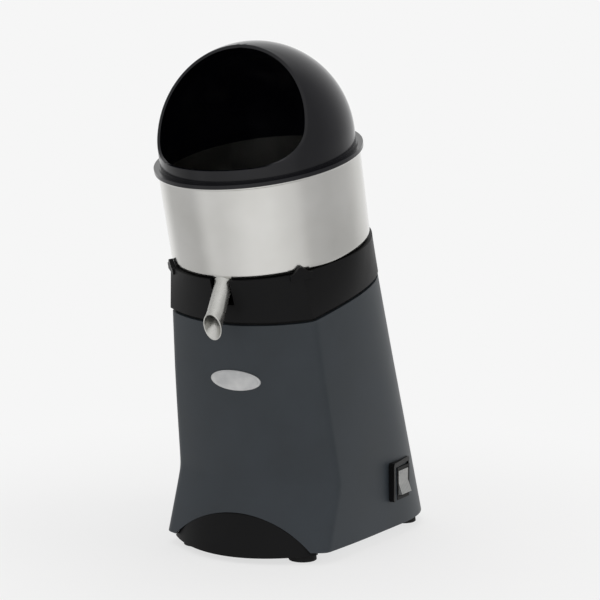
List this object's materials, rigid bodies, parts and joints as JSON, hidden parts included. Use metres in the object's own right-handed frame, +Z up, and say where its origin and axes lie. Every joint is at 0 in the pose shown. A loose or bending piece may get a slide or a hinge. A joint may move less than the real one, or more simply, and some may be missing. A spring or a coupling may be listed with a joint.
{
  "type": "citrus juicer",
  "caption": "Motor-driven citrus juicer with a leaning painted base, steel juice bowl with front spout, and a domed splash guard over the squeezer.",
  "frame": {"origin": "on the table, midway between the front of the splash guard's flange and the back of the housing, in the plane of symmetry", "axes": "+Z up, -Y towards the user (the spout side), +X to the user's right (the switch side)"},
  "size_m": [0.2037, 0.3124, 0.4908],
  "materials": {
    "slate_paint": "sandy satin slate grey",
    "bowl_steel": "satin stainless",
    "black_gloss": "glossy black moulding",
    "black_squeezer": "semi-gloss black moulding",
    "black_plastic": "fine matte black",
    "grey_plastic": "ribbed grey",
    "natural_plastic": "natural nylon",
    "capacitor_case": "pale grey case",
    "black_rubber": "matte",
    "badge_metal": "satin",
    "cast_alloy": "as cast",
    "zinc_sheet": "zinc plated",
    "plain_steel": "zinc plated",
    "bearing_steel": "ground",
    "core_steel": "varnished laminations",
    "copper_wire": "enamelled winding"
  },
  "bodies": {
    "base": {"housing_shell": "slate_paint", "top_collar": "black_plastic", "collar_gasket": "black_rubber", "collar_screws": "plain_steel", "front_plinth": "black_plastic", "plinth_screws": "plain_steel", "base_plate": "zinc_sheet", "rubber_feet": "black_rubber", "foot_screws": "plain_steel", "badge_plate": "badge_metal", "switch_hood": "black_plastic", "switch_body": "black_plastic", "power_inlet": "black_plastic", "inlet_screws": "plain_steel", "shaft_seal": "black_rubber", "upper_end_bell": "cast_alloy", "lower_end_bell": "cast_alloy", "stator_core": "core_steel", "stator_windings": "copper_wire", "tie_bolts": "plain_steel", "motor_screws": "plain_steel", "upper_bearing": "bearing_steel", "lower_bearing": "bearing_steel", "capacitor": "capacitor_case", "capacitor_clamp": "zinc_sheet", "terminal_block": "natural_plastic"},
    "rotor": {"motor_shaft": "bearing_steel", "rotor_core": "core_steel", "cooling_fan": "black_plastic", "slinger_ring": "black_rubber", "drive_hub": "bearing_steel", "drive_pin": "bearing_steel"},
    "bowl": {"juice_bowl": "bowl_steel", "spout_tube": "bowl_steel"},
    "strainer": {"strainer_basket": "bowl_steel"},
    "squeezer": {"squeezer_cone": "black_squeezer"},
    "guard": {"splash_guard": "black_gloss"},
    "rocker": {"switch_rocker": "grey_plastic"}
  },
  "joints": [
    {"name": "rotor_spin", "type": "hinge", "parent": "base", "child": "rotor", "pos_m": [0, -0.0584, 0.3818], "axis": [0, -0.2565, 0.9666], "continuous": true},
    {"name": "bowl_lift", "type": "slide", "parent": "base", "child": "bowl", "axis": [0, -0.2565, 0.9666], "range_m": [0, 0.12]},
    {"name": "strainer_lift", "type": "slide", "parent": "bowl", "child": "strainer", "axis": [0, -0.2565, 0.9666], "range_m": [0, 0.05]},
    {"name": "squeezer_spin", "type": "hinge", "parent": "strainer", "child": "squeezer", "pos_m": [0, -0.0584, 0.3818], "axis": [0, -0.2565, 0.9666], "continuous": true},
    {"name": "guard_lift", "type": "slide", "parent": "bowl", "child": "guard", "axis": [0, -0.2565, 0.9666], "range_m": [0, 0.15]},
    {"name": "rocker_tilt", "type": "hinge", "parent": "base", "child": "rocker", "pos_m": [0.0957, 0.0572, 0.0535], "axis": [0, 1, 0], "range_deg": [0, 20]}
  ],
  "couplings": [
    {"joint": "squeezer_spin", "follows": "rotor_spin", "ratio": 1}
  ]
}
